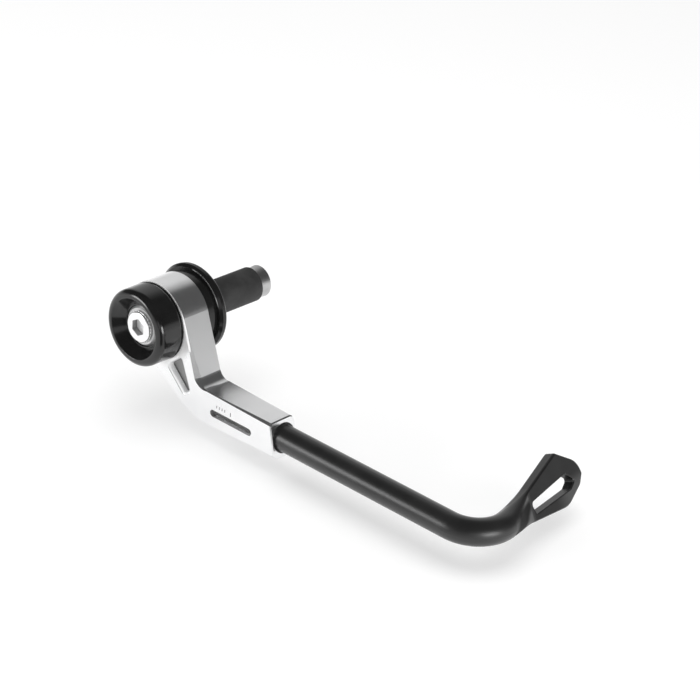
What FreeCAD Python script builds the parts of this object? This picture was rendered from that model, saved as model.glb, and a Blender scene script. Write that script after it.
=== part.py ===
import FreeCAD, Part
import math
import os

# Bar-end lever guard. X runs along the handlebar and points outboard, Y points
# forward and Z up. The origin is on the bar's axis, where the flange of the spacer
# meets the end of the bar. All sizes are in millimetres and degrees.

# Stack on the handlebar's axis
spacer_length = 8.0
flange_radius = 17.3
flange_thickness = 3.5
flange_bevel = 1.0
flange_round = 1.4
hub_radius = 15.0
bracket_width = 12.75
ring_radius = 15.5
spigot_radius = 9.0
spigot_clearance = 0.05
spigot_setback = 0.4

# End cap
cap_length = 11.6
cap_inset = 0.3
cap_taper = 0.15
cap_lip_round = 3.0
cap_rim_width = 3.05
cap_rim_round = 0.5
dish_depth = 4.4
dish_floor_radius = 8.6
seat_depth = 2.6
groove_offset = 0.7
groove_width = 1.0
groove_depth = 0.3
cap_edge = 0.3

# Bolt and its cup washer
bolt_radius = 4.0
bolt_hole_clearance = 0.25
head_radius = 6.1
head_height = 3.9
head_round = 0.7
hex_across_flats = 6.0
hex_depth = 2.6
hex_turn = 30.0
washer_radius = 7.9
washer_height = 3.0
washer_bevel = 0.8
washer_floor = 0.7
washer_clearance = 0.2

# Expander inside the bar
plug_radius = 6.9
pilot_length = 4.0
thrust_washer_thickness = 1.2
bush_length = 24.0
cone_length = 11.0
cone_nose_radius = 5.3
cone_tail_radius = 6.4
cone_engagement = 6.0
thread_clearance = 0.05
bolt_tail = 2.0

# Guard rod
rod_radius = 5.0
rod_clearance = 0.04
rod_drop = 25.5
rod_inner_end = 28.0
rod_end_bevel = 0.8
bend_start = 141.0
bend_radius = 13.0
bend_angle = 96.0

# Flattened blade at the rod's tip, as (along the tip, across it from the rod's axis)
blade_thickness = 4.45
blade_tilt = 25.5
blade_edge = 0.8
blade_start = 13.0
blade_rise_start = 9.2
blade_fall_start = 14.7
blade_upper_corner = (35.7, 12.6)
blade_shoulder = (47.6, 4.9)
blade_nose = (48.8, -0.2)
blade_chin = (46.0, -3.6)
blade_lower_corner = (36.1, -8.0)
blade_root_round = 1.0
blade_rounds = (1.6, 9.0, 1.3, 3.0, 10.0)

# Neck that flattens the round rod into the blade
neck_length = 16.5
neck_inset = 0.05
neck_sections = 7

# Slot through the blade, in the same two directions
slot_corners = ((15.2, 1.9), (38.7, 3.5), (43.3, -0.5), (39.5, -2.7), (16.6, -2.7))
slot_round = 1.2
slot_edge = 0.35

# Bracket
arm_lean = 22.9
heel_lean = 34.3
nose_wall = 2.2
nose_reach = 61.0
end_slant = 11.3
elbow_round = 5.0
elbow_sections = 5
heel_round = 25.0
bore_end = 24.5
front_bevel = 0.85
rear_bevel = 0.5
bevel_fade = 0.05
arm_facet = 1.8
nose_facet_start = 0.25
nose_facet_end = 1.0
heel_facet_end = 2.2
elbow_rear_bevel = 1.0
nose_rear_round = 3.0
end_bevel = 0.4
bore_mouth_bevel = 0.7

# Pocket in the arm's outer face, between two radii about the bar's axis
pocket_gap = 1.4
pocket_outer_radius = 29.3
pocket_inner_angles = (-65.5, -35.7)
pocket_outer_angles = (-56.1, -49.6)
pocket_depth = 2.5
pocket_draft = 0.4
pocket_round = 1.2
pocket_rim_width = 0.8
pocket_rim_depth = 0.5

# Sight slot that shows how far the rod is in
sight_start = 30.5
sight_length = 21.3
sight_width = 2.9
sight_drop = 0.6

# Set screws under the nose, as distances back from the top of its end
screw_setbacks = (16.0, 5.0)
screw_radius = 2.0
screw_length = 3.0
screw_hex = 2.0
screw_hex_depth = 1.2
screw_gap = 0.05

# How far a cutter stands proud of the edge that it cuts
cutter_overrun = 1.0

# Places worked out from the sizes above
ring_back = spacer_length
ring_front = ring_back + bracket_width
rod_x = ring_back + bracket_width / 2.0
rod_z = -rod_drop
bore_radius = rod_radius + rod_clearance
nose_top = rod_z + bore_radius + nose_wall
nose_bottom = rod_z - bore_radius - nose_wall
cap_front = ring_front + cap_length
dish_floor = cap_front - dish_depth
washer_back = dish_floor - seat_depth
washer_front = washer_back + washer_height
head_back = washer_back + washer_floor
head_front = head_back + head_height
bolt_hole_radius = bolt_radius + bolt_hole_clearance
bush_front = -pilot_length - thrust_washer_thickness
bush_back = bush_front - bush_length
cone_front = bush_back + cone_engagement
cone_back = cone_front - cone_length
bend_foot = FreeCAD.Vector(rod_x, bend_start, rod_z)
bend_centre = FreeCAD.Vector(rod_x - bend_radius, bend_start, rod_z)
screw_places = [nose_reach - setback for setback in screw_setbacks]

ORIGIN = FreeCAD.Vector(0, 0, 0)
X_AXIS = FreeCAD.Vector(1, 0, 0)
Y_AXIS = FreeCAD.Vector(0, 1, 0)
Z_AXIS = FreeCAD.Vector(0, 0, 1)
INBOARD = FreeCAD.Vector(-1, 0, 0)
DOWN = FreeCAD.Vector(0, 0, -1)


def point(x, y, z):
    return FreeCAD.Vector(x, y, z)


def cylinder_x(radius, start, end):
    """A cylinder on the bar's axis between two stations."""
    return Part.makeCylinder(radius, end - start, point(start, 0, 0), X_AXIS)


def turned(profile):
    """A solid of revolution about the bar's axis, from (station, radius) corners."""
    corners = [point(x, r, 0) for x, r in profile]
    return Part.Face(Part.makePolygon(corners + corners[:1])).revolve(ORIGIN, X_AXIS, 360)


def rim(shape, station, radius):
    """The edge of a turned shape that passes a station at a radius."""
    vertex = Part.Vertex(point(station, 0, radius))
    return [min(shape.Edges, key=lambda edge: edge.distToShape(vertex)[0])]


def hex_prism(across_flats, start, end, turn=0.0):
    """A hexagonal bar along X, for a socket."""
    corner_radius = across_flats / math.sqrt(3.0)
    corners = []
    for side in range(6):
        angle = math.radians(60 * side + turn)
        corners.append(point(start, corner_radius * math.cos(angle), corner_radius * math.sin(angle)))
    face = Part.Face(Part.makePolygon(corners + corners[:1]))
    return face.extrude(point(end - start, 0, 0))


def corner_arc(corner, before, after, radius):
    """The arc that rounds one corner of an outline: its start, middle and end."""
    back = (before - corner).normalize()
    ahead = (after - corner).normalize()
    half = back.getAngle(ahead) / 2.0
    enter = corner + back * (radius / math.tan(half))
    leave = corner + ahead * (radius / math.tan(half))
    middle = corner + (back + ahead).normalize() * (radius / math.sin(half) - radius)
    return enter, middle, leave


def rounded_outline(corners, rounds):
    """A closed wire through corners, each turned into an arc of its own radius."""
    count = len(corners)
    arcs = []
    for i in range(count):
        arcs.append(corner_arc(corners[i], corners[i - 1], corners[(i + 1) % count], rounds[i]))
    edges = []
    for i in range(count):
        edges.append(Part.Arc(*arcs[i]).toShape())
        edges.append(Part.makeLine(arcs[i][2], arcs[(i + 1) % count][0]))
    return Part.Wire(edges)


def bevel_section(corner, face_a, face_b, size):
    """Triangle that takes a flat bevel off a corner between two faces.

    face_a and face_b point from the corner into its faces. The triangle stands
    proud of the corner, so that it cuts cleanly.
    """
    one = corner + face_a * size + (face_a - face_b) * cutter_overrun
    two = corner + face_b * size + (face_b - face_a) * cutter_overrun
    tip = corner - (face_a + face_b) * cutter_overrun
    return Part.makePolygon([one, two, tip, one])


def bevel_cutter(start, end, face_a, face_b, size_start, size_end):
    """A wedge that takes a facet off a straight edge, wider at one end than at the other."""
    sections = [bevel_section(start, face_a, face_b, size_start)]
    sections.append(bevel_section(end, face_a, face_b, size_end))
    return Part.makeLoft(sections, True, True)


def round_cutter(start, end, face_a, face_b, radius_start, radius_end):
    """What has to go to round a straight edge with a radius that grows along it."""
    along = (end - start).normalize()
    corners, circles = [], []
    for corner, radius in ((start, radius_start), (end, radius_end)):
        centre = corner + (face_a + face_b) * radius
        outside = corner - (face_a + face_b) * cutter_overrun
        one = corner + face_a * radius - face_b * cutter_overrun
        two = corner + face_b * radius - face_a * cutter_overrun
        corners.append(Part.makePolygon([outside, one, centre, two, outside]))
        circles.append(Part.Wire(Part.makeCircle(radius, centre, along)))
    return Part.makeLoft(corners, True, True).cut(Part.makeLoft(circles, True, True))


def make_flange_spacer():
    """Turned spacer: pilot in the bar, flange on the bar's end, spigot for the bracket."""
    spigot_end = ring_front - spigot_setback
    body = turned([
        (-pilot_length, 0.0),
        (-pilot_length, plug_radius),
        (0.0, plug_radius),
        (0.0, flange_radius),
        (flange_thickness, flange_radius),
        (flange_thickness, hub_radius),
        (spacer_length, hub_radius),
        (spacer_length, spigot_radius),
        (spigot_end, spigot_radius),
        (spigot_end, 0.0),
    ])
    body = body.makeFillet(flange_round, rim(body, 0.0, flange_radius))
    body = body.makeChamfer(flange_bevel, rim(body, flange_thickness, flange_radius))
    return body.cut(cylinder_x(bolt_hole_radius, -pilot_length, spigot_end))


def make_end_cap():
    """Dished cap that closes the stack and holds the bolt's cup washer."""
    rear_radius = ring_radius - cap_inset
    front_radius = rear_radius - cap_taper
    lip_radius = front_radius - cap_rim_width
    lip_round = min(cap_lip_round, cap_rim_width - cap_rim_round)
    body = turned([
        (ring_front, 0.0),
        (ring_front, rear_radius),
        (cap_front, front_radius),
        (cap_front, lip_radius),
        (dish_floor, dish_floor_radius),
        (dish_floor, 0.0),
    ])
    body = body.makeFillet(cap_rim_round, rim(body, cap_front, lip_radius))
    body = body.makeFillet(lip_round, rim(body, cap_front, front_radius))
    body = body.makeChamfer(cap_edge, rim(body, ring_front, rear_radius))
    groove_start = ring_front + groove_offset
    groove_proud = rear_radius + groove_depth
    body = body.cut(turned([
        (groove_start, rear_radius - groove_depth),
        (groove_start + 2.0 * groove_width, groove_proud),
        (groove_start, groove_proud),
    ]))
    body = body.cut(cylinder_x(washer_radius + washer_clearance, washer_back, cap_front))
    return body.cut(cylinder_x(bolt_hole_radius, ring_front, cap_front))


def make_bolt_washer():
    """Cup washer: the bolt's head sits half sunk in it."""
    body = cylinder_x(washer_radius, washer_back, washer_front)
    body = body.makeChamfer(washer_bevel, rim(body, washer_front, washer_radius))
    body = body.cut(cylinder_x(head_radius + washer_clearance, head_back, washer_front))
    return body.cut(cylinder_x(bolt_hole_radius, washer_back, washer_front))


def make_cap_bolt():
    """Socket-head bolt that runs through the whole stack into the expander's cone."""
    head = cylinder_x(head_radius, head_back, head_front)
    head = head.makeFillet(head_round, rim(head, head_front, head_radius))
    shank = cylinder_x(bolt_radius, cone_back - bolt_tail, head_back)
    body = head.fuse(shank).removeSplitter()
    return body.cut(hex_prism(hex_across_flats, head_front - hex_depth, head_front, hex_turn))


def make_expander_washer():
    """Thrust washer between the spacer's pilot and the rubber bush."""
    body = cylinder_x(plug_radius, bush_front, -pilot_length)
    return body.cut(cylinder_x(bolt_hole_radius, bush_front, -pilot_length))


def cone_radius(station):
    """Radius of the expander's cone at a station on the bar's axis."""
    share = (cone_front - station) / cone_length
    return cone_nose_radius + (cone_tail_radius - cone_nose_radius) * share


def make_expander_bush():
    """Rubber bush that the cone swells against the bar's bore."""
    body = cylinder_x(plug_radius, bush_back, bush_front)
    seat = point(bush_back, 0, 0)
    recess = Part.makeCone(cone_radius(bush_back), cone_nose_radius, cone_engagement, seat, X_AXIS)
    body = body.cut(recess)
    return body.cut(cylinder_x(bolt_hole_radius, bush_back, bush_front))


def make_expander_cone():
    """Threaded cone that the bolt draws into the bush."""
    tail = point(cone_back, 0, 0)
    body = Part.makeCone(cone_tail_radius, cone_nose_radius, cone_length, tail, X_AXIS)
    return body.cut(cylinder_x(bolt_radius + thread_clearance, cone_back, cone_front))


def side_view():
    """Corners of the bracket's side view, as points in the plane X = 0."""
    lean, heel = math.radians(arm_lean), math.radians(heel_lean)
    elbow_y = (ring_radius - math.sin(lean) * nose_top) / math.cos(lean)
    heel_y = -(ring_radius + math.cos(heel) * nose_bottom) / math.sin(heel)
    end_y = nose_reach + (nose_top - nose_bottom) * math.tan(math.radians(end_slant))
    return {
        "arm": point(0, ring_radius * math.cos(lean), ring_radius * math.sin(lean)),
        "elbow": point(0, elbow_y, nose_top),
        "end_top": point(0, nose_reach, nose_top),
        "end_bottom": point(0, end_y, nose_bottom),
        "heel": point(0, heel_y, nose_bottom),
        "ring": point(0, -ring_radius * math.sin(heel), -ring_radius * math.cos(heel)),
    }


def bracket_blank():
    """The bracket's side view as a plate as thick as the ring, and its named corners."""
    at = side_view()
    elbow = corner_arc(at["elbow"], at["arm"], at["end_top"], elbow_round)
    heel = corner_arc(at["heel"], at["end_bottom"], at["ring"], heel_round)
    far_angle = math.radians((arm_lean + 270.0 - heel_lean) / 2.0)
    far_side = point(0, ring_radius * math.cos(far_angle), ring_radius * math.sin(far_angle))
    outline = Part.Wire([
        Part.makeLine(at["arm"], elbow[0]),
        Part.Arc(*elbow).toShape(),
        Part.makeLine(elbow[2], at["end_top"]),
        Part.makeLine(at["end_top"], at["end_bottom"]),
        Part.makeLine(at["end_bottom"], heel[0]),
        Part.Arc(*heel).toShape(),
        Part.makeLine(heel[2], at["ring"]),
        Part.Arc(at["ring"], far_side, at["arm"]).toShape(),
    ])
    outline.translate(X_AXIS * ring_back)
    at.update(elbow_in=elbow[0], elbow_out=elbow[2], heel_in=heel[0], heel_out=heel[2])
    return Part.Face(outline).extrude(X_AXIS * bracket_width), at


def underside_bevel(at, station, into_body, size, size_at_end):
    """Cutters for the bevel from the nose's end, round the heel, to the ring, on one face."""
    shift = X_AXIS * station
    heel_in, heel_out = at["heel_in"] + shift, at["heel_out"] + shift
    heel = math.radians(heel_lean)
    into_heel = point(0, math.sin(heel), math.cos(heel))
    underside = bevel_cutter(heel_in, at["end_bottom"] + shift, Z_AXIS, into_body, size, size_at_end)
    section = Part.Face(bevel_section(heel_in, Z_AXIS, into_body, size))
    corner = section.revolve(heel_in + Z_AXIS * heel_round, X_AXIS, -heel_lean)
    side = bevel_cutter(heel_out, at["ring"] + shift, into_heel, into_body, size, bevel_fade)
    return [underside, corner, side]


def elbow_facet(at):
    """Cutter for the arm's front facet where it runs out round the elbow."""
    centre = at["elbow_out"] + Z_AXIS * elbow_round
    sections = []
    for step in range(elbow_sections):
        share = step / (elbow_sections - 1.0)
        turn = FreeCAD.Rotation(X_AXIS, (arm_lean - 90.0) * (1.0 - share))
        corner = centre + turn.multVec(DOWN * elbow_round) + X_AXIS * ring_front
        size = arm_facet + (nose_facet_start - arm_facet) * share
        sections.append(bevel_section(corner, turn.multVec(DOWN), INBOARD, size))
    return Part.makeLoft(sections, True, False)


def nose_end_face(body):
    """The slanted face at the nose's end, found by its direction."""
    slant = math.radians(end_slant)
    outward = point(0, math.cos(slant), math.sin(slant))
    return max(body.Faces, key=lambda face: face.normalAt(0, 0).dot(outward))


def make_bracket():
    """Machined bracket: ring on the bar's axis, leaning arm, and nose bored for the rod."""
    body, at = bracket_blank()
    front, back = X_AXIS * ring_front, X_AXIS * ring_back
    lean = math.radians(arm_lean)
    into_arm = point(0, -math.cos(lean), -math.sin(lean))
    top_end = point(0, at["end_bottom"].y, nose_top)
    cutters = underside_bevel(at, ring_front, INBOARD, front_bevel, heel_facet_end)
    cutters += underside_bevel(at, ring_back, X_AXIS, rear_bevel, nose_rear_round)
    cutters.append(bevel_cutter(
        at["arm"] + front, at["elbow_in"] + front, into_arm, INBOARD, bevel_fade, arm_facet
    ))
    cutters.append(bevel_cutter(
        at["elbow_out"] + front, top_end + front, DOWN, INBOARD, nose_facet_start, nose_facet_end
    ))
    cutters.append(round_cutter(
        at["elbow_out"] + back, top_end + back, DOWN, X_AXIS, elbow_rear_bevel, nose_rear_round
    ))
    cutters.append(bevel_cutter(
        at["arm"] + back, at["elbow_in"] + back, into_arm, X_AXIS, bevel_fade, elbow_rear_bevel
    ))
    elbow_section = Part.Face(bevel_section(at["elbow_out"] + back, DOWN, X_AXIS, elbow_rear_bevel))
    elbow_centre = at["elbow_out"] + Z_AXIS * elbow_round
    cutters.append(elbow_section.revolve(elbow_centre, X_AXIS, arm_lean - 90.0))
    cutters.append(elbow_facet(at))
    for cutter in cutters:
        body = body.cut(cutter)
    body = body.makeChamfer(end_bevel, nose_end_face(body).OuterWire.Edges)

    body = body.cut(cylinder_x(spigot_radius + spigot_clearance, ring_back, ring_front))
    bore_length = at["end_bottom"].y + bore_radius - bore_end
    bore_foot = point(rod_x, bore_end, rod_z)
    body = body.cut(Part.makeCylinder(bore_radius, bore_length, bore_foot, Y_AXIS))
    end_face = nose_end_face(body)
    bore_mouth = [wire for wire in end_face.Wires if not wire.isSame(end_face.OuterWire)]
    body = body.makeChamfer(bore_mouth_bevel, bore_mouth[0].Edges)
    body = body.cut(make_pocket_cutter())
    body = body.cut(make_sight_cutter())
    for place in screw_places:
        base = point(rod_x, place, nose_bottom - nose_wall)
        hole = Part.makeCylinder(screw_radius + thread_clearance, rod_z - base.z, base, Z_AXIS)
        body = body.cut(hole)
    return body


def polar(radius, degrees):
    """A point of the bracket's outer face, by its radius and angle about the bar's axis."""
    angle = math.radians(degrees)
    return point(ring_front, radius * math.cos(angle), radius * math.sin(angle))


def make_pocket_cutter():
    """Tapered pocket in the arm: a bevelled rim on the outer face, then walls down to a smaller floor."""
    inner_radius = ring_radius + pocket_gap
    corners = [
        polar(inner_radius, pocket_inner_angles[0]),
        polar(pocket_outer_radius, pocket_outer_angles[0]),
        polar(pocket_outer_radius, pocket_outer_angles[1]),
        polar(inner_radius, pocket_inner_angles[1]),
    ]
    mouth = rounded_outline(corners, [pocket_round] * len(corners))
    rim_edge = mouth.makeOffset2D(pocket_rim_width)
    floor = mouth.makeOffset2D(-pocket_draft)
    mouth.translate(INBOARD * pocket_rim_depth)
    floor.translate(INBOARD * pocket_depth)
    return Part.makeLoft([rim_edge, mouth], True, True).fuse(Part.makeLoft([mouth, floor], True, True))


def make_sight_cutter():
    """Round-ended slot through the nose's outer wall, along the rod."""
    radius = sight_width / 2.0
    middle = rod_z - sight_drop
    low, high = middle - radius, middle + radius
    first, last = sight_start + radius, sight_start + sight_length - radius
    near_end = [point(rod_x, last, low), point(rod_x, last + radius, middle), point(rod_x, last, high)]
    far_end = [point(rod_x, first, high), point(rod_x, first - radius, middle), point(rod_x, first, low)]
    outline = Part.Wire([
        Part.makeLine(far_end[2], near_end[0]),
        Part.Arc(*near_end).toShape(),
        Part.makeLine(near_end[2], far_end[0]),
        Part.Arc(*far_end).toShape(),
    ])
    return Part.Face(outline).extrude(X_AXIS * bracket_width)


def make_rod_set_screws():
    """Grub screws under the nose that lock the rod, as separate solids."""
    foot_z = rod_z - rod_radius - screw_gap - screw_length
    screws = []
    for place in screw_places:
        foot = point(rod_x, place, foot_z)
        socket = hex_prism(screw_hex, 0.0, screw_hex_depth)
        socket.rotate(ORIGIN, Y_AXIS, -90)
        socket.translate(foot)
        screws.append(Part.makeCylinder(screw_radius, screw_length, foot, Z_AXIS).cut(socket))
    return Part.makeCompound(screws)


def plate(outline_corners, rounds):
    """A flat plate about the blade's middle plane, from (along, above) corners."""
    corners = [point(along, blade_thickness / 2.0, above) for along, above in outline_corners]
    return Part.Face(rounded_outline(corners, rounds)).extrude(Y_AXIS * -blade_thickness)


def upper_edge(along):
    """Height of the blade's upper edge, a line that leaves the rod's crest where it starts to rise."""
    share = (along - blade_rise_start) / (blade_upper_corner[0] - blade_rise_start)
    return rod_radius + (blade_upper_corner[1] - rod_radius) * share


def lower_edge(along):
    """Height of the blade's lower edge, a line that leaves the rod's underside where it starts to fall."""
    share = (along - blade_fall_start) / (blade_lower_corner[0] - blade_fall_start)
    return -rod_radius + (blade_lower_corner[1] + rod_radius) * share


def neck_crest(along):
    """Height of the neck's top: it curves from the rod's crest into the blade's upper edge."""
    slope = (blade_upper_corner[1] - rod_radius) / (blade_upper_corner[0] - blade_rise_start)
    return rod_radius + slope * along * along / (4.0 * blade_rise_start)


def between(first, last, share):
    return first + (last - first) * share


def neck_section(along):
    """Section of the neck: the rod's round, pressed flatter and squarer the nearer it is to the blade."""
    share = along / neck_length
    ease = share * share * (3.0 - 2.0 * share)
    half = between(rod_radius, blade_thickness / 2.0, ease) - neck_inset
    corner_round = between(rod_radius - 2.0 * neck_inset, blade_edge, ease)
    top = neck_crest(along) - neck_inset
    bottom = between(-rod_radius, lower_edge(along), ease * ease) + neck_inset
    corners = [
        point(along, -half, bottom), point(along, -half, top),
        point(along, half, top), point(along, half, bottom),
    ]
    return rounded_outline(corners, [corner_round] * len(corners))


def make_tip():
    """Neck and slotted blade in the tip's own axes: X along the tip, Y through the blade."""
    neck = [neck_section(neck_length * step / (neck_sections - 1.0)) for step in range(neck_sections)]
    outline = [
        (blade_start, lower_edge(blade_start)), (blade_start, upper_edge(blade_start)),
        blade_upper_corner, blade_shoulder, blade_nose, blade_chin, blade_lower_corner,
    ]
    half = blade_thickness / 2.0
    blade = plate(outline, (blade_root_round, blade_root_round) + blade_rounds)
    rims = [edge for edge in blade.Edges if abs(abs(edge.CenterOfMass.y) - half) < blade_edge / 2.0]
    blade = blade.makeFillet(blade_edge, rims)
    tip = blade.fuse(Part.makeLoft(neck, True, False)).removeSplitter()
    slot = plate(slot_corners, [slot_round] * len(slot_corners))
    tip = tip.cut(slot)
    mouth = [edge for edge in tip.Edges if on_slot_mouth(edge, slot)]
    return tip.makeChamfer(slot_edge, mouth)


def on_slot_mouth(edge, slot):
    """Whether an edge runs along the slot's wall on one of the tip's two faces."""
    crosses = abs(edge.Vertexes[0].Y - edge.Vertexes[-1].Y) > slot_edge
    return not crosses and all(slot.isInside(corner.Point, slot_edge / 10.0, True) for corner in edge.Vertexes)


def make_guard_rod():
    """Round rod, its bend towards the bike, and the blade that its end is pressed into."""
    inner = point(rod_x, rod_inner_end, rod_z)
    rod = Part.makeCylinder(rod_radius, bend_start - rod_inner_end, inner, Y_AXIS)
    inner_rim = min(rod.Edges, key=lambda edge: edge.CenterOfMass.y)
    rod = rod.makeChamfer(rod_end_bevel, [inner_rim])
    section = Part.Face(Part.Wire(Part.makeCircle(rod_radius, bend_foot, Y_AXIS)))
    bend = section.revolve(bend_centre, Z_AXIS, bend_angle)
    spoke = FreeCAD.Rotation(Z_AXIS, bend_angle).multVec(X_AXIS * bend_radius)
    heading = FreeCAD.Rotation(Z_AXIS, bend_angle + 90.0).multiply(FreeCAD.Rotation(X_AXIS, -blade_tilt))
    tip = make_tip()
    tip.Placement = FreeCAD.Placement(bend_centre + spoke, heading)
    return rod.fuse([bend, tip]).removeSplitter()


os.makedirs("parts", exist_ok=True)
pieces = {
    "flange_spacer": make_flange_spacer(),
    "end_cap": make_end_cap(),
    "bolt_washer": make_bolt_washer(),
    "cap_bolt": make_cap_bolt(),
    "expander_washer": make_expander_washer(),
    "expander_bush": make_expander_bush(),
    "expander_cone": make_expander_cone(),
    "bracket": make_bracket(),
    "rod_set_screws": make_rod_set_screws(),
    "guard_rod": make_guard_rod(),
}
for name, shape in pieces.items():
    print(name, shape.isValid(), len(shape.Solids), round(shape.Volume, 2))
    shape.exportStep("parts/" + name + ".step")
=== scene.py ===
# %% [markdown]
# # Bar-end lever guard
# The guard is a small assembly that screws into the end of a bar: a turned stack on the bar's axis, a
# machined bracket, and a black rod whose flattened tip shields the lever. Every solid comes from the CAD
# frame, already at its real size and place, so this lesson is about finishes, a few small added details,
# the light and the camera.

# %% Load the frame
import math

import bpy
from mathutils import Matrix, Quaternion, Vector


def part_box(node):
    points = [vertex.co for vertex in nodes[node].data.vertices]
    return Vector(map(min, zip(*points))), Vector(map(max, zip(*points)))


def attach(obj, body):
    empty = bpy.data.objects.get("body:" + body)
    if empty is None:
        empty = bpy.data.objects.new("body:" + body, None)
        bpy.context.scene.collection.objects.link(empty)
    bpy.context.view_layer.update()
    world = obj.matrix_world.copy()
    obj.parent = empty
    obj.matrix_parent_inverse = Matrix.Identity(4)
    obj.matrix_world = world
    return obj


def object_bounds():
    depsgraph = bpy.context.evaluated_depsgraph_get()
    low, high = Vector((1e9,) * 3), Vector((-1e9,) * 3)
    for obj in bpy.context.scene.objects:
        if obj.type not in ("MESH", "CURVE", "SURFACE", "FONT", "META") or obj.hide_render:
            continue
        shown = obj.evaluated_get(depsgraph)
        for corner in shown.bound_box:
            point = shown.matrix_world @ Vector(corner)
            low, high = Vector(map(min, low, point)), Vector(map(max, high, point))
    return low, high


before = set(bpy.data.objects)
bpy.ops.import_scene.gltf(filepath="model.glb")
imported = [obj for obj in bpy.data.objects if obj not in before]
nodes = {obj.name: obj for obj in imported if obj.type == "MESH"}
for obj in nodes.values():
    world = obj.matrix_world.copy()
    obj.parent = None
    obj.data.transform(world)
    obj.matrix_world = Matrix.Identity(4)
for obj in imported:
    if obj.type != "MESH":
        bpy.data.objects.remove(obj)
cad_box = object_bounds()
MM = 0.001
print("nodes:", sorted(nodes))


# %% [markdown]
# ## Places that the details need
# The looks follow the solids, so the few places that many details share are read from the nodes' boxes.
# The bar's axis is the X axis, and the rod runs along Y under it.

# %% Read places from the solids
bracket_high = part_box("bracket")[1]
bolt_low, bolt_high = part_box("cap_bolt")
washer_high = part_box("bolt_washer")[1]
flange_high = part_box("flange_spacer")[1]
print("bracket's outer face at x", round(bracket_high.x / MM, 2))
print("bolt's front at x", round(bolt_high.x / MM, 2))


# %% [markdown]
# ## Shader maths as Python
# A finish is easier to read as an expression than as a list of links. The first class below wraps one
# output socket. Its operators add Math nodes, and its reflected forms make `1 - mask` work. The second
# class wraps a node tree. Any node comes from its one method `node`, which sets the node's settings first
# and then its inputs. A pair of values, such as a start and an end, says where a smooth step lies.

# %% Wrap a socket
class Value:
    """One output socket."""

    def __init__(self, tree, socket):
        self.tree = tree
        self.socket = socket

    def maths(self, operation, *others):
        return self.tree.node("ShaderNodeMath", {"operation": operation}, dict(enumerate((self,) + others)))

    def __add__(self, other):
        return self.maths("ADD", other)

    __radd__ = __add__

    def __mul__(self, other):
        return self.maths("MULTIPLY", other)

    __rmul__ = __mul__

    def __sub__(self, other):
        return self.maths("SUBTRACT", other)

    def __rsub__(self, other):
        return self.tree.node("ShaderNodeMath", {"operation": "SUBTRACT"}, {0: other, 1: self})

    def __truediv__(self, other):
        return self.maths("DIVIDE", other)

    def __pow__(self, other):
        return self.maths("POWER", other)

    def output(self, name):
        """Another output of the same node."""
        return Value(self.tree, self.socket.node.outputs[name])

    def ramp(self, low, high):
        """0 below low, 1 above high and smooth between them."""
        inputs = {"Value": self, "From Min": low, "From Max": high}
        settings = {"interpolation_type": "SMOOTHSTEP", "clamp": True}
        return self.tree.node("ShaderNodeMapRange", settings, inputs)

    def between(self, rise, fall):
        """1 from the end of the pair rise to the start of the pair fall."""
        return self.ramp(*rise) * (1 - self.ramp(*fall))

    def band(self, middle, half, soft):
        """1 within half of middle, fading to 0 over soft."""
        return 1 - (self - middle).maths("ABSOLUTE").ramp(half, half + soft)


# %% Wrap a node tree
class Tree:
    """A node tree that hands out wrapped sockets."""

    def __init__(self, node_tree):
        self.nodes = node_tree.nodes
        self.links = node_tree.links
        self.nodes.clear()

    def node(self, kind, settings=None, inputs=None, output=0):
        made = self.nodes.new(kind)
        for name, setting in (settings or {}).items():
            setattr(made, name, setting)
        for name, given in (inputs or {}).items():
            if isinstance(given, Value):
                self.links.new(given.socket, made.inputs[name])
            else:
                made.inputs[name].default_value = given
        return Value(self, made.outputs[output]) if made.outputs else None

    def coordinates(self):
        return self.node("ShaderNodeTexCoord", output="Object")

    def parts(self, vector):
        made = self.node("ShaderNodeSeparateXYZ", None, {0: vector})
        return [made.output(i) for i in range(3)]

    def vector(self, x, y, z=0.0):
        return self.node("ShaderNodeCombineXYZ", None, {0: x, 1: y, 2: z})

    def along(self, place, direction):
        """How far a place lies along a direction."""
        x, y, z = self.parts(place)
        return x * direction[0] + y * direction[1] + z * direction[2]

    def beyond(self, place, start, direction):
        """How far a place lies past a start, along a direction."""
        return self.along(place, direction) - start.dot(direction)

    def from_axis(self, place):
        """How far a place lies from the bar's axis."""
        x, y, z = self.parts(place)
        return (y * y + z * z) ** 0.5

    def noise(self, vector, scale, detail=2.0, roughness=0.6):
        inputs = {"Vector": vector, "Scale": scale, "Detail": detail, "Roughness": roughness}
        return self.node("ShaderNodeTexNoise", None, inputs)

    def lines(self, *stretches, detail=2.0):
        """Noise drawn out into lines. Each value comes with its number of cells in a metre."""
        stretched = [value * cells for value, cells in stretches]
        return self.noise(self.vector(*stretched), 1.0, detail)

    def mix(self, share, first, second):
        """A colour that goes from first to second."""
        return self.node("ShaderNodeMix", {"data_type": "RGBA"}, {0: share, 6: first, 7: second}, output=2)

    def bump(self, height, strength, distance):
        inputs = {"Height": height, "Strength": strength, "Distance": distance}
        return self.node("ShaderNodeBump", None, inputs)

    def surface(self, inputs):
        """End a material with one Principled shader."""
        shader = self.node("ShaderNodeBsdfPrincipled", None, inputs)
        self.node("ShaderNodeOutputMaterial", None, {"Surface": shader})


# %% Start a material and dress a node
def grey(level):
    return (level, level, level, 1.0)


def new_material(name):
    material = bpy.data.materials.new(name)
    material.use_nodes = True
    return material, Tree(material.node_tree)


def dress(node, material):
    """Give a CAD node one material in place of its plain one."""
    mesh = nodes[node].data
    mesh.materials.clear()
    mesh.materials.append(material)
    print("dressed", node, "with", material.name)


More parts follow.
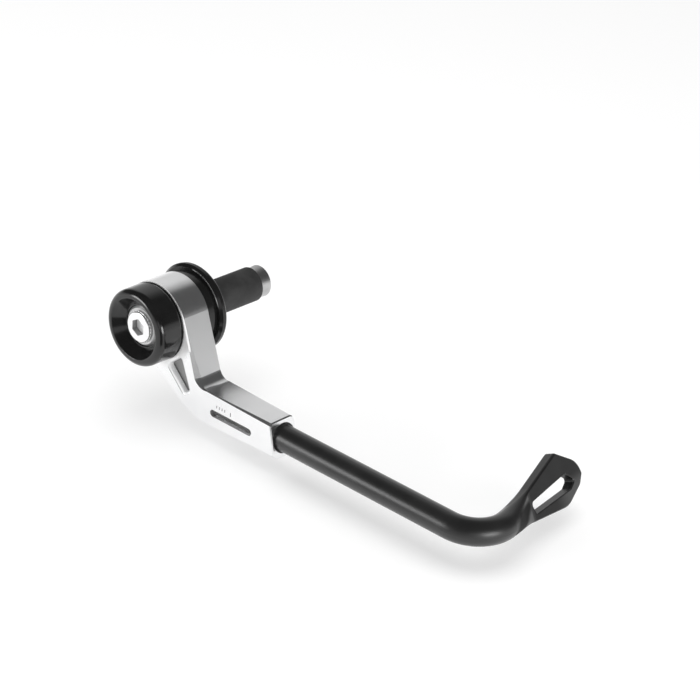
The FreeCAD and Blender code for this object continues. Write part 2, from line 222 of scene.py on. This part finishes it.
# %% [markdown]
# ## Machined aluminium
# The bracket is milled from a billet and left silver. A mirror would be too clean and a plain grey too dull,
# so the finish is a smooth metal with three kinds of detail: fine milling lines that run along each face, a
# slow cloud in the roughness, and a faint darkening of the colour in that cloud. The lines cross the
# bracket's width, as if the cutter went round its outline. Three places carry painted light, fitted to the
# photo's tones. The pocket is made matt, and its floor is painted darker as shade. The outer face round the
# cap, which would mirror the black cap, is painted a white that scatters light, as a painted reflection.
# Some places are fitted to the photo's tones, and their cause is not known: the pocket is made matt, with a
# darker floor, and the outer face round the cap, which would mirror the black cap, is made to scatter light.
# The ring's outer edge is painted white as a highlight, where the real one has a narrow bevel that the
# solids lack. These could be separate materials, but masks made from the place on the metal need no cut in
# the mesh.

# %% Places on the bracket
face_x = bracket_high.x
pocket_floor = face_x - 2.5 * MM
pocket_floor_half = 0.2 * MM
pocket_back_depth = (pocket_floor - 0.5 * MM, pocket_floor - 0.3 * MM)
pocket_mouth = (face_x - 0.2 * MM, face_x - 0.05 * MM)
pocket_near_end = (16.0 * MM, 16.1 * MM)
pocket_far_end = (30.1 * MM, 30.2 * MM)
pocket_front = Vector((0.0, 0.9209, 0.3898))
pocket_front_side = (9.6 * MM, 9.7 * MM)
pocket_back = Vector((0.0, -0.6914, -0.7223))
pocket_back_side = (7.1 * MM, 7.2 * MM)
ring_edge_depth = (face_x - 0.5 * MM, face_x - 0.35 * MM)
ring_edge_reach = (14.2 * MM, 14.4 * MM)
ring_edge_foot = (-6.5 * MM, -5.0 * MM)
ring_edge_top = (5.0 * MM, 10.5 * MM)
face_skin = (face_x - 0.06 * MM, face_x - 0.03 * MM)
pale_radii = (15.4 * MM, 20.5 * MM)
pale_share = 0.85


def pocket_masks(t, place):
    """The pocket's inside, and its floor alone."""
    x = t.parts(place)[0]
    pocket = x.between(pocket_back_depth, pocket_mouth)
    pocket = pocket * t.from_axis(place).between(pocket_near_end, pocket_far_end)
    pocket = pocket * (1 - t.along(place, pocket_front).ramp(*pocket_front_side))
    pocket = pocket * (1 - t.along(place, pocket_back).ramp(*pocket_back_side))
    return pocket, pocket * x.band(pocket_floor, pocket_floor_half, pocket_floor_half)


# Where white is painted: a highlight on the ring's outer edge, and a bright reflection on the outer face
# round the cap.
def painted_light_mask(t, place):
    """The ring's outer edge, and the outer face round the cap."""
    x, y, z = t.parts(place)
    edge = x.ramp(*ring_edge_depth) * t.along(place, pocket_front).ramp(*ring_edge_reach)
    edge = edge * z.between(ring_edge_foot, ring_edge_top)
    face = pale_share * x.ramp(*face_skin) * (1 - t.from_axis(place).ramp(*pale_radii))
    return edge.maths("MAXIMUM", face)


print("pocket's floor at x", round(pocket_floor / MM, 2))


# %% Finish: machined aluminium
bright_silver = (0.905, 0.907, 0.912, 1.0)
dull_silver = (0.85, 0.852, 0.86, 1.0)
# Painted shade for the pocket's floor.
pocket_shade_grey = grey(0.3)
# Painted white, for the highlight on the ring's edge and the reflection on the face round the cap.
painted_light_white = grey(0.97)


def machined_aluminium():
    material, t = new_material("machined_aluminium")
    place = t.coordinates()
    x, y, z = t.parts(place)
    pocket, shaded_pocket_floor = pocket_masks(t, place)
    # Painted highlight on the ring's edge and painted reflection on the face round the cap.
    pale = painted_light_mask(t, place)
    milling = t.lines((x, 300.0), (y, 5200.0), (z, 5200.0), detail=3.0)
    cloud = t.noise(place, scale=70.0, detail=3.0)
    speckle = t.noise(place, scale=2400.0, roughness=0.7)
    silver = t.mix(cloud.ramp(0.35, 0.7), bright_silver, dull_silver)
    t.surface({
        # The pocket's floor is painted a darker grey as shade.
        "Base Color": t.mix(pale, t.mix(shaded_pocket_floor, silver, pocket_shade_grey), painted_light_white),
        "Metallic": 1 - 0.7 * (pocket - shaded_pocket_floor) - 0.85 * pale,
        "Roughness": 0.16 + 0.07 * cloud + 0.05 * milling + 0.3 * pocket + 0.3 * pale,
        "Normal": t.bump(0.7 * milling + 0.3 * speckle, strength=0.06, distance=0.02 * MM),
    })
    return material


dress("bracket", machined_aluminium())


# %% [markdown]
# ## Black anodised parts
# The cap is turned and polished before it is anodised, so it is glossy, with very faint turning lines round
# the bar's axis. The spacer is turned too. A thin bright line along the upper front of its edge is a painted
# highlight, laid as uncoated metal on that side only. One function makes both, from how smooth they are, how
# much of that edge gets the painted highlight and how strongly the coating reflects.

# %% Finish: gloss black
edge_radius = flange_high.z - 1.1 * MM
edge_half_width = 0.13 * MM
edge_station = 3.3 * MM
edge_half_depth = 0.3 * MM
edge_softness = 0.1 * MM
edge_heights = (5.0 * MM, 10.0 * MM)
edge_front = (0.0, 3.0 * MM)
bare_metal_highlight = grey(0.88)


def gloss_black(name, roughness, turning, edge_highlight_share, ior):
    material, t = new_material(name)
    place = t.coordinates()
    x, y, z = t.parts(place)
    radius = t.from_axis(place)
    rings = t.lines((x, 5000.0), (radius, 5000.0))
    cloud = t.noise(place, scale=90.0, detail=3.0, roughness=0.55)
    flecks = t.noise(place, scale=1600.0)
    on_edge = radius.band(edge_radius, edge_half_width, edge_softness)
    on_edge = on_edge * x.band(edge_station, edge_half_depth, edge_softness)
    # Painted highlight: uncoated metal on the edge, only on its upper front, where light catches it.
    lit_upper_front = z.ramp(*edge_heights) * y.ramp(*edge_front)
    bare_edge_highlight = edge_highlight_share * on_edge * lit_upper_front * flecks.ramp(0.25, 0.45)
    black = t.mix(cloud.ramp(0.3, 0.75), grey(0.006), grey(0.01))
    t.surface({
        "Base Color": t.mix(bare_edge_highlight, black, bare_metal_highlight),
        "Metallic": bare_edge_highlight,
        "Roughness": roughness + 0.05 * (cloud - 0.5),
        "IOR": ior,
        "Coat Weight": 0.12 * (1 - bare_edge_highlight),
        "Coat Roughness": 0.05,
        "Normal": t.bump(rings, strength=turning, distance=0.01 * MM),
    })
    return material


cap_black = gloss_black("gloss_black_cap", roughness=0.15, turning=0.1, edge_highlight_share=0.0, ior=1.48)
spacer_black = gloss_black("gloss_black_spacer", roughness=0.17, turning=0.12, edge_highlight_share=1.0, ior=1.38)
dress("end_cap", cap_black)
dress("flange_spacer", spacer_black)


# %% [markdown]
# ## The rod's satin black
# The rod looks blasted and then anodised: a satin black with a fine sandy grain. In the sight slot it looks
# stippled grey, so the stretch that slides in the bracket is taken to be rubbed. A hard paint edge would
# look drawn, so that stretch fades out just inside the bore's mouth and is broken up by the grain. The
# shine is a coat over a duller base, so that masks can fit it to the photo's tones at the tip: less on the
# blade's flat face, almost none on the neck's near side and the slot's walls, and a little more at the
# blade's low end. The cause is not known. The masks are measured along the tip's own three directions.

# %% Places on the rod
rubbed_stretch = (bracket_high.y - 12.0 * MM, bracket_high.y - 10.0 * MM)
tip_root = Vector((0.0, 153.93 * MM, -25.5 * MM))
tip_normal = Vector((-0.0943, 0.8976, 0.4305))
tip_heading = Vector((-0.9945, -0.1045, 0.0))
tip_across = Vector((0.045, -0.428, 0.9026))
tip_half_thickness = 2.225 * MM
tip_start = (2.0 * MM, 11.0 * MM)
face_start = (11.0 * MM, 15.0 * MM)
face_half = 0.1 * MM
face_softness = 0.15 * MM
neck_start = (0.5 * MM, 4.0 * MM)
neck_end = (10.5 * MM, 15.5 * MM)
neck_slants = (0.6, 1.5)
neck_shoulder = (-22.2 * MM, -20.5 * MM)
slot_middle = (29.2 * MM, 0.4 * MM)
slot_half = (14.4 * MM, 3.4 * MM)
slot_half_depth = 1.6 * MM
slot_depth_softness = 0.25 * MM
slot_softness = 0.2 * MM
low_end_start = (28.0 * MM, 39.0 * MM)
low_end_top = (-2.5 * MM, 2.5 * MM)


def tip_masks(t, place):
    """The tip, its flat face, the neck's near side, the slot's walls and the blade's low end."""
    z = t.parts(place)[2]
    out = t.beyond(place, tip_root, tip_normal)
    down = t.beyond(place, tip_root, tip_heading)
    across = t.beyond(place, tip_root, tip_across)
    tip = down.ramp(*tip_start)
    face = out.band(tip_half_thickness, face_half, face_softness) * down.ramp(*face_start)
    neck = (down - neck_slants[0] * across).ramp(*neck_start)
    neck = neck * (1 - (down - neck_slants[1] * across).ramp(*neck_end))
    neck = neck * (1 - z.ramp(*neck_shoulder)) * (1 - face)
    slot = out.band(0.0, slot_half_depth, slot_depth_softness)
    slot = slot * down.band(slot_middle[0], slot_half[0], slot_softness)
    slot = slot * across.band(slot_middle[1], slot_half[1], slot_softness)
    low_end = down.ramp(*low_end_start) * (1 - across.ramp(*low_end_top)) * (1 - slot)
    return tip, face, neck, slot, low_end


print("rod is rubbed up to y", round(rubbed_stretch[1] / MM, 2))


# %% Finish: satin black
def satin_black():
    material, t = new_material("satin_black_rod")
    place = t.coordinates()
    x, y, z = t.parts(place)
    tip, face, neck, slot, low_end = tip_masks(t, place)
    sand = t.noise(place, scale=4200.0, roughness=0.65)
    cloud = t.noise(place, scale=90.0, detail=3.0, roughness=0.55)
    stipple = t.noise(place, scale=1500.0)
    scratches = t.lines((x, 2200.0), (y, 160.0), (z, 2200.0))
    rubbed = (1 - y.ramp(*rubbed_stretch)) * (0.35 + 0.65 * stipple.ramp(0.35, 0.65))
    rubbed = rubbed * (0.6 + 0.4 * scratches.ramp(0.4, 0.6))
    black = t.mix(cloud.ramp(0.3, 0.75), grey(0.009), grey(0.014))
    shine = 0.85 - 0.15 * tip - 0.65 * face * (1 - low_end) + 0.3 * low_end
    shine = shine - 0.7 * neck - 0.6 * slot
    t.surface({
        "Base Color": t.mix(rubbed, black, grey(0.16)),
        "Roughness": 0.36 + 0.08 * (cloud - 0.5) + 0.06 * (sand - 0.5) + 0.45 * neck,
        "IOR": 1.25,
        "Coat Weight": shine.maths("MAXIMUM", 0.0),
        "Coat Roughness": 0.36,
        "Normal": t.bump(sand, strength=0.22, distance=0.02 * MM),
    })
    return material


dress("guard_rod", satin_black())


# %% [markdown]
# ## Steel, rubber and the screws
# The bolt's head is bright plated steel. Masks paint shade on its socket's walls, as a darker grey, and make
# the bottom matt and pale, to fit the photo's tones. The cup washer under the head is plated too, but matt,
# with turning rings. The expander and the grub screws are hidden, so their finishes are guesses: a turned
# cone, a plain washer, a black rubber bush and black oxide screws. Each could be one flat grey, but a cloud
# in the colour and fine rings, pits or grain tell the metals and the rubber apart.

# %% Finish: bright plated steel
socket_radius = (3.5 * MM, 3.6 * MM)
socket_floor = bolt_high.x - 2.6 * MM
socket_back = (socket_floor - 0.3 * MM, socket_floor - 0.2 * MM)
socket_bottom = (socket_floor + 0.05 * MM, socket_floor + 0.15 * MM)
socket_mouth = (bolt_high.x - 0.12 * MM, bolt_high.x - 0.05 * MM)
# A darker grey painted on the socket's walls as shade; the bottom is made matt.
socket_shade_grey = grey(0.3)


def bright_steel(name, roughness):
    material, t = new_material(name)
    place = t.coordinates()
    x = t.parts(place)[0]
    socket = x.between(socket_back, socket_mouth) * (1 - t.from_axis(place).ramp(*socket_radius))
    bottom = socket * (1 - x.ramp(*socket_bottom))
    walls = socket - bottom
    cloud = t.noise(place, scale=400.0, detail=3.0)
    pits = t.noise(place, scale=1500.0, detail=3.0, roughness=0.7)
    plated = t.mix(cloud.ramp(0.3, 0.7), grey(0.96), grey(0.86))
    t.surface({
        "Base Color": t.mix(walls, plated, socket_shade_grey),
        "Metallic": 0.8 - 0.7 * bottom,
        "Roughness": roughness + 0.12 * cloud,
        "Normal": t.bump(pits, strength=0.25, distance=0.05 * MM),
    })
    return material


bolt_steel = bright_steel("bright_plated_steel", roughness=0.14)
knurl_steel = bright_steel("plated_knurl", roughness=0.2)
dress("cap_bolt", bolt_steel)


# %% Finish: turned steel
def turned_steel(name, level, roughness):
    material, t = new_material(name)
    place = t.coordinates()
    x = t.parts(place)[0]
    rings = t.lines((x, 4000.0), (t.from_axis(place), 4000.0))
    cloud = t.noise(place, scale=160.0, detail=3.0)
    t.surface({
        "Base Color": t.mix(cloud.ramp(0.3, 0.7), grey(level), grey(0.8 * level)),
        "Metallic": 1.0,
        "Roughness": roughness + 0.12 * (rings - 0.5),
        "Normal": t.bump(rings, strength=0.3, distance=0.03 * MM),
    })
    return material


dress("bolt_washer", turned_steel("matt_plated_steel", level=0.64, roughness=0.5))
plain_steel = turned_steel("turned_steel", level=0.55, roughness=0.34)
for node in ("expander_washer", "expander_cone"):
    dress(node, plain_steel)


# %% Finish: rubber and black oxide
def moulded_rubber():
    material, t = new_material("moulded_rubber")
    place = t.coordinates()
    bloom = t.noise(place, scale=120.0, detail=4.0)
    grain = t.noise(place, scale=2600.0)
    t.surface({
        "Base Color": t.mix(bloom.ramp(0.35, 0.75), grey(0.018), grey(0.035)),
        "Roughness": 0.62 + 0.15 * bloom,
        "Normal": t.bump(grain, strength=0.3, distance=0.04 * MM),
    })
    return material


def black_oxide():
    material, t = new_material("black_oxide_steel")
    place = t.coordinates()
    cloud = t.noise(place, scale=500.0, detail=3.0)
    t.surface({
        "Base Color": t.mix(cloud.ramp(0.3, 0.7), grey(0.03), grey(0.06)),
        "Metallic": 0.6,
        "Roughness": 0.35 + 0.15 * cloud,
        "Normal": t.bump(cloud, strength=0.2, distance=0.03 * MM),
    })
    return material


dress("expander_bush", moulded_rubber())
dress("rod_set_screws", black_oxide())


# %% [markdown]
# ## Tools for new pieces
# New pieces are modelled with operators, as by hand. Three helpers do what every piece needs: one puts a
# fresh primitive's place and size into its mesh, one selects vertices by where they are, and one closes
# the work and hangs the piece on its body.

# %% Helpers for modelling
smooth_angle = math.radians(25)


def begin(name, scale=(1, 1, 1)):
    """Name the primitive just added and put its place and size into its mesh."""
    made = bpy.context.object
    made.name = name
    made.data.name = name
    made.scale = scale
    bpy.ops.object.transform_apply(location=True, rotation=True, scale=True)
    return made


def pick(piece, wanted):
    """In edit mode, select only the vertices whose place passes a test."""
    bpy.ops.mesh.select_mode(type="VERT")
    bpy.ops.mesh.select_all(action="DESELECT")
    bpy.ops.object.mode_set(mode="OBJECT")
    for vertex in piece.data.vertices:
        vertex.select = wanted(vertex.co)
    bpy.ops.object.mode_set(mode="EDIT")


def complete(piece, material, body):
    """Leave edit mode with the faces turned outwards, and dress the piece."""
    bpy.ops.mesh.select_all(action="SELECT")
    bpy.ops.mesh.normals_make_consistent(inside=False)
    bpy.ops.object.mode_set(mode="OBJECT")
    bpy.ops.object.shade_smooth_by_angle(angle=smooth_angle)
    piece.data.materials.append(material)
    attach(piece, body)
    print("made", piece.name, "with", len(piece.data.polygons), "faces")


# %% [markdown]
# ## Knurled band on the bolt's head
# A socket-head bolt has a band of fine straight ridges, rolled into the side of its head so that fingers
# can turn it. They could be a bump pattern, but then the rim would stay smooth. Here a short tube gets
# twice as many sides as ridges, every other edge is drawn in to the root, and both ends slope down into
# the head and are bridged inside it, so that the band is a closed ring.

# %% Piece: knurled band
ridge_count = 30
ridge_height = 0.24 * MM
ridge_bite = 0.02 * MM
ridge_root = bolt_high.z - ridge_bite
ridge_crest = bolt_high.z + ridge_height
band_back = washer_high.x - 0.4 * MM
band_front = bolt_high.x - 0.75 * MM
band_slope = 0.12 * MM
band_middle = (band_back + band_front) / 2
band_reach = (band_front - band_back) / 2
near_band_end = 0.9 * band_reach
half_ridge = math.pi / ridge_count

bpy.ops.object.select_all(action="DESELECT")
bpy.ops.mesh.primitive_cylinder_add(
    vertices=2 * ridge_count, radius=ridge_crest, depth=2 * band_reach, end_fill_type="NOTHING",
    location=(band_middle, 0, 0), rotation=(0, math.pi / 2, 0),
)
knurl = begin("head_knurl")
bpy.ops.object.mode_set(mode="EDIT")
pick(knurl, lambda co: round(math.atan2(co.z, co.y) / half_ridge) % 2 == 1)
draw_in = ridge_root / ridge_crest
bpy.ops.transform.resize(value=(1, draw_in, draw_in), center_override=(band_middle, 0, 0))
dive = (ridge_root - ridge_height) / ridge_crest
for side in (-1, 1):
    pick(knurl, lambda co: side * (co.x - band_middle) > near_band_end)
    bpy.ops.mesh.extrude_region_move(TRANSFORM_OT_translate={"value": (side * band_slope, 0, 0)})
    bpy.ops.transform.resize(value=(1, dive, dive), center_override=(band_middle, 0, 0))
pick(knurl, lambda co: abs(co.x - band_middle) > band_reach + band_slope / 2)
bpy.ops.mesh.bridge_edge_loops()
complete(knurl, knurl_steel, "bar_end_stack")


# %% [markdown]
# ## Thread on the bolt's tail
# The bolt's tail stands out of the expander's cone, and there its thread shows. A helix is what the Screw
# modifier is for: a small diamond, half of it inside the bolt, is turned about the bar's axis while it moves
# by one pitch, and the two ends of the ridge are then closed.

# %% Piece: tail thread
thread_pitch = 1.25 * MM
thread_height = 0.18 * MM
thread_half_width = 0.45 * MM
thread_start = bolt_low.x + 0.5 * MM
thread_steps = 64
bolt_radius = 4.0 * MM

bpy.ops.object.select_all(action="DESELECT")
bpy.ops.mesh.primitive_circle_add(
    vertices=4, radius=1.0, location=(thread_start, 0, bolt_radius),
    rotation=(math.pi / 2, 0, 0),
)
thread = begin("tail_thread", (thread_half_width, thread_height, 1.0))
bpy.ops.object.modifier_add(type="SCREW")
helix = thread.modifiers[-1]
helix.axis = "X"
helix.screw_offset = thread_pitch
helix.steps = thread_steps
helix.render_steps = thread_steps
bpy.ops.object.modifier_apply(modifier=helix.name)
bpy.ops.object.mode_set(mode="EDIT")
bpy.ops.mesh.select_mode(type="EDGE")
bpy.ops.mesh.select_all(action="DESELECT")
bpy.ops.mesh.select_non_manifold()
bpy.ops.mesh.fill_holes(sides=4)
complete(thread, bolt_steel, "bar_end_stack")


# %% [markdown]
# ## Reach marks beside the sight slot
# A few short marks and one longer limit mark on the bracket's outer face show how far the rod may come out.
# On the metal they are etched, with no depth to speak of. A painted mask would blur when the finish is
# baked to a texture, so each mark is a thin plate, sunk in the face, with softened edges. One is modelled
# and copied.

# %% Finish: etched grey
def etched_grey():
    material, t = new_material("etched_grey")
    place = t.coordinates()
    grain = t.noise(place, scale=3000.0, detail=3.0, roughness=0.7)
    t.surface({
        "Base Color": t.mix(grain.ramp(0.3, 0.7), grey(0.12), grey(0.24)),
        "Roughness": 0.6 + 0.2 * grain,
        "Normal": t.bump(grain, strength=0.3, distance=0.01 * MM),
    })
    return material


# %% Piece: reach marks
mark_width = 0.38 * MM
mark_length = 1.1 * MM
limit_length = 1.7 * MM
mark_depth = 0.2 * MM
mark_proud = 0.012 * MM
mark_softening = 0.4 * mark_proud
mark_top = -22.1 * MM
first_mark = 33.8 * MM
mark_step = 1.4 * MM
mark_count = 4
limit_mark = 41.0 * MM
mark_middle = face_x + mark_proud - mark_depth / 2

bpy.ops.object.select_all(action="DESELECT")
bpy.ops.mesh.primitive_cube_add(
    size=1.0, location=(mark_middle, limit_mark, mark_top - limit_length / 2),
)
marks = begin("reach_marks", (mark_depth, mark_width, limit_length))
bpy.ops.object.mode_set(mode="EDIT")
pick(marks, lambda co: co.x > mark_middle)
bpy.ops.mesh.bevel(offset=mark_softening, segments=2, affect="EDGES")
bpy.ops.mesh.select_all(action="SELECT")
bpy.ops.object.mode_set(mode="OBJECT")
shorten = Matrix.Diagonal((1, 1, mark_length / limit_length, 1))
from_top = Matrix.Translation((0, -limit_mark, -mark_top))
for step in range(mark_count):
    copied = marks.copy()
    copied.data = marks.data.copy()
    to_top = Matrix.Translation((0, first_mark + step * mark_step, mark_top))
    copied.data.transform(to_top @ shorten @ from_top)
    bpy.context.collection.objects.link(copied)
    copied.select_set(True)
marks.select_set(True)
bpy.context.view_layer.objects.active = marks
bpy.ops.object.join()
bpy.ops.object.mode_set(mode="EDIT")
complete(marks, etched_grey(), "bracket_arm")


# %% [markdown]
# ## The floor
# The guard hangs from a bar's end a little over a white table, which takes a soft shadow. A plain white
# floor would come out grey where the lamps miss it, so it glows a little for the camera and in reflections.
# In front, a wedge of it is dark in reflections alone, as a dark cloth laid there would be. That is fitted
# to the photo too: the faces that look that way need something dark to show.

# %% Floor
floor_gap = 6.0 * MM
floor_size = 6.0
floor_white = grey(0.9)
camera_glow = 0.13
gloss_glow = 0.16
dark_start = (60 * MM, 80 * MM)
dark_heading = Vector((0.643, 0.766, 0.0))
dark_side = Vector((-0.766, 0.643, 0.0))
dark_corner = Vector((20 * MM, 0.0, 0.0))
dark_spread = (0.25, 0.12)
dark_cloth = grey(0.1)

bpy.ops.object.select_all(action="DESELECT")
bpy.ops.mesh.primitive_plane_add(size=floor_size, location=(0, 0, cad_box[0].z - floor_gap))
floor = begin("floor")
floor_material, t = new_material("white_floor")
place = t.coordinates()
ahead = t.beyond(place, dark_corner, dark_heading)
aside = t.beyond(place, dark_corner, dark_side)
in_dark = ahead.ramp(*dark_start) * (aside / ahead).band(0.0, *dark_spread)
camera_ray = t.node("ShaderNodeLightPath", output="Is Camera Ray")
glossy_ray = camera_ray.output("Is Glossy Ray")
diffuse = t.node("ShaderNodeBsdfDiffuse", None, {"Color": floor_white})
glow_level = camera_glow * camera_ray + gloss_glow * glossy_ray
glow = t.node("ShaderNodeEmission", None, {"Color": grey(1.0), "Strength": glow_level})
table = t.node("ShaderNodeAddShader", None, {0: diffuse, 1: glow})
cloth = t.node("ShaderNodeEmission", None, {"Color": dark_cloth, "Strength": 1.0})
seen = t.node("ShaderNodeMixShader", None, {0: glossy_ray * in_dark, 1: table, 2: cloth})
t.node("ShaderNodeOutputMaterial", None, {"Surface": seen})
floor.data.materials.append(floor_material)
print("floor at z", round((cad_box[0].z - floor_gap) / MM, 2))


# %% [markdown]
# ## The studio
# Metal looks like what it reflects, so the studio matters more than the lamps. It could be built from large
# panels, but a world that depends on the direction is simpler. It has a bright horizon, a bright wall behind
# the bar, a dark ceiling that draws the dark bands on the ring, in the elbow and along the rod, and a dark
# side in front. One white card stands in that dark side and lights the arm's front facet. Only reflections
# see it: the camera sees white, and all other light is even, so that colours render as they are written.

# %% World: bright horizon, bright wall, dark ceiling, dark front, white card
horizon_fade = (0.06, 0.24)
wall_direction = Vector((-0.766, -0.643, 0.0))
wall_edges = (0.72, 0.93)
wall_top = (0.66, 0.86)
front_direction = Vector((0.39, 0.92, 0.0))
front_edges = (0.68, 0.82)
card_direction = Vector((0.736, 0.663, 0.139))
card_edges = (0.961, 0.988)
ceiling_level = 0.07
horizon_level = 0.85
wall_level = 0.7
card_level = 1.0
even_level = 0.8
never_zero = 1e-6

world = bpy.data.worlds.new("studio")
bpy.context.scene.world = world
world.use_nodes = True
t = Tree(world.node_tree)
sight = t.node("ShaderNodeTexCoord", output="Generated")
x, y, z = t.parts(sight)
level_length = (x * x + y * y + never_zero) ** 0.5
towards_wall = t.along(sight, wall_direction) / level_length
towards_front = t.along(sight, front_direction) / level_length
in_wall = towards_wall.ramp(*wall_edges) * (1 - z.ramp(*wall_top))
near_horizon = (1 - z.ramp(*horizon_fade)) * (1 - towards_front.ramp(*front_edges))
on_card = t.along(sight, card_direction).ramp(*card_edges)
lit = (wall_level * in_wall).maths("MAXIMUM", horizon_level * near_horizon)
studio_level = lit.maths("MAXIMUM", card_level * on_card).maths("MAXIMUM", ceiling_level)
camera_ray = t.node("ShaderNodeLightPath", output="Is Camera Ray")
glossy_ray = camera_ray.output("Is Glossy Ray")
level = glossy_ray * studio_level + (1 - glossy_ray) * even_level
level = camera_ray + (1 - camera_ray) * level
sky = t.node("ShaderNodeBackground", None, {"Color": grey(1.0), "Strength": level})
t.node("ShaderNodeOutputWorld", None, {"Surface": sky})
print("world", world.name, "with", len(world.node_tree.nodes), "nodes")


# %% [markdown]
# ## The lamps
# One broad lamp overhead makes the soft shadow. It is hidden in reflections, because it would wash out the
# dark ceiling. Two low strips, one outboard and behind and one ahead, are there for their reflections: they
# draw the highlights on the rod and its bend.

# %% Lamps
lamp_aim = Vector((0.0, 70 * MM, -10 * MM))


def lamp(name, place, size, power, seen_in_gloss):
    """A soft lamp that looks at the guard's middle."""
    bpy.ops.object.light_add(type="AREA", location=place)
    made = bpy.context.object
    made.name = name
    made.data.shape = "RECTANGLE"
    made.data.size, made.data.size_y = size
    made.data.energy = power
    made.rotation_mode = "QUATERNION"
    made.rotation_quaternion = (lamp_aim - Vector(place)).to_track_quat("-Z", "Y")
    made.visible_glossy = seen_in_gloss
    print("lamp", name, "power", power)


lamp("overhead", (0.0, 0.05, 0.9), size=(0.7, 0.7), power=1.6, seen_in_gloss=False)
lamp("side_strip", (0.78, -0.46, 0.14), size=(0.4, 0.3), power=2.8, seen_in_gloss=True)
lamp("end_strip", (0.15, 0.84, 0.07), size=(0.4, 0.3), power=3.2, seen_in_gloss=True)


# %% [markdown]
# ## The camera
# The camera stands outboard and in front of the bar's end, looking down at the guard, a little rolled. Its
# place and lens were worked out from the solids' own edges. The look is turned by angles and not by a
# target, because the guard isn't in the middle of the picture.

# %% Camera
azimuth = math.radians(130.16)
elevation = math.radians(27.07)
roll = math.radians(4.71)
camera_place = (0.4917, 0.4931, 0.3408)
frame_pixels = 700
focal_pixels = 2030.7
sensor = 36.0
back = Vector((
    math.sin(azimuth) * math.cos(elevation),
    -math.cos(azimuth) * math.cos(elevation),
    math.sin(elevation),
))
bpy.ops.object.camera_add(location=camera_place)
camera = bpy.context.object
camera.data.sensor_width = sensor
camera.data.lens = focal_pixels / frame_pixels * sensor
camera.data.clip_start = 0.01
camera.rotation_mode = "QUATERNION"
camera.rotation_quaternion = (-back).to_track_quat("-Z", "Y") @ Quaternion((0, 0, 1), roll)
bpy.context.scene.camera = camera
bpy.context.scene.view_settings.view_transform = "Standard"
print("camera at", camera_place, "lens", round(camera.data.lens, 1))
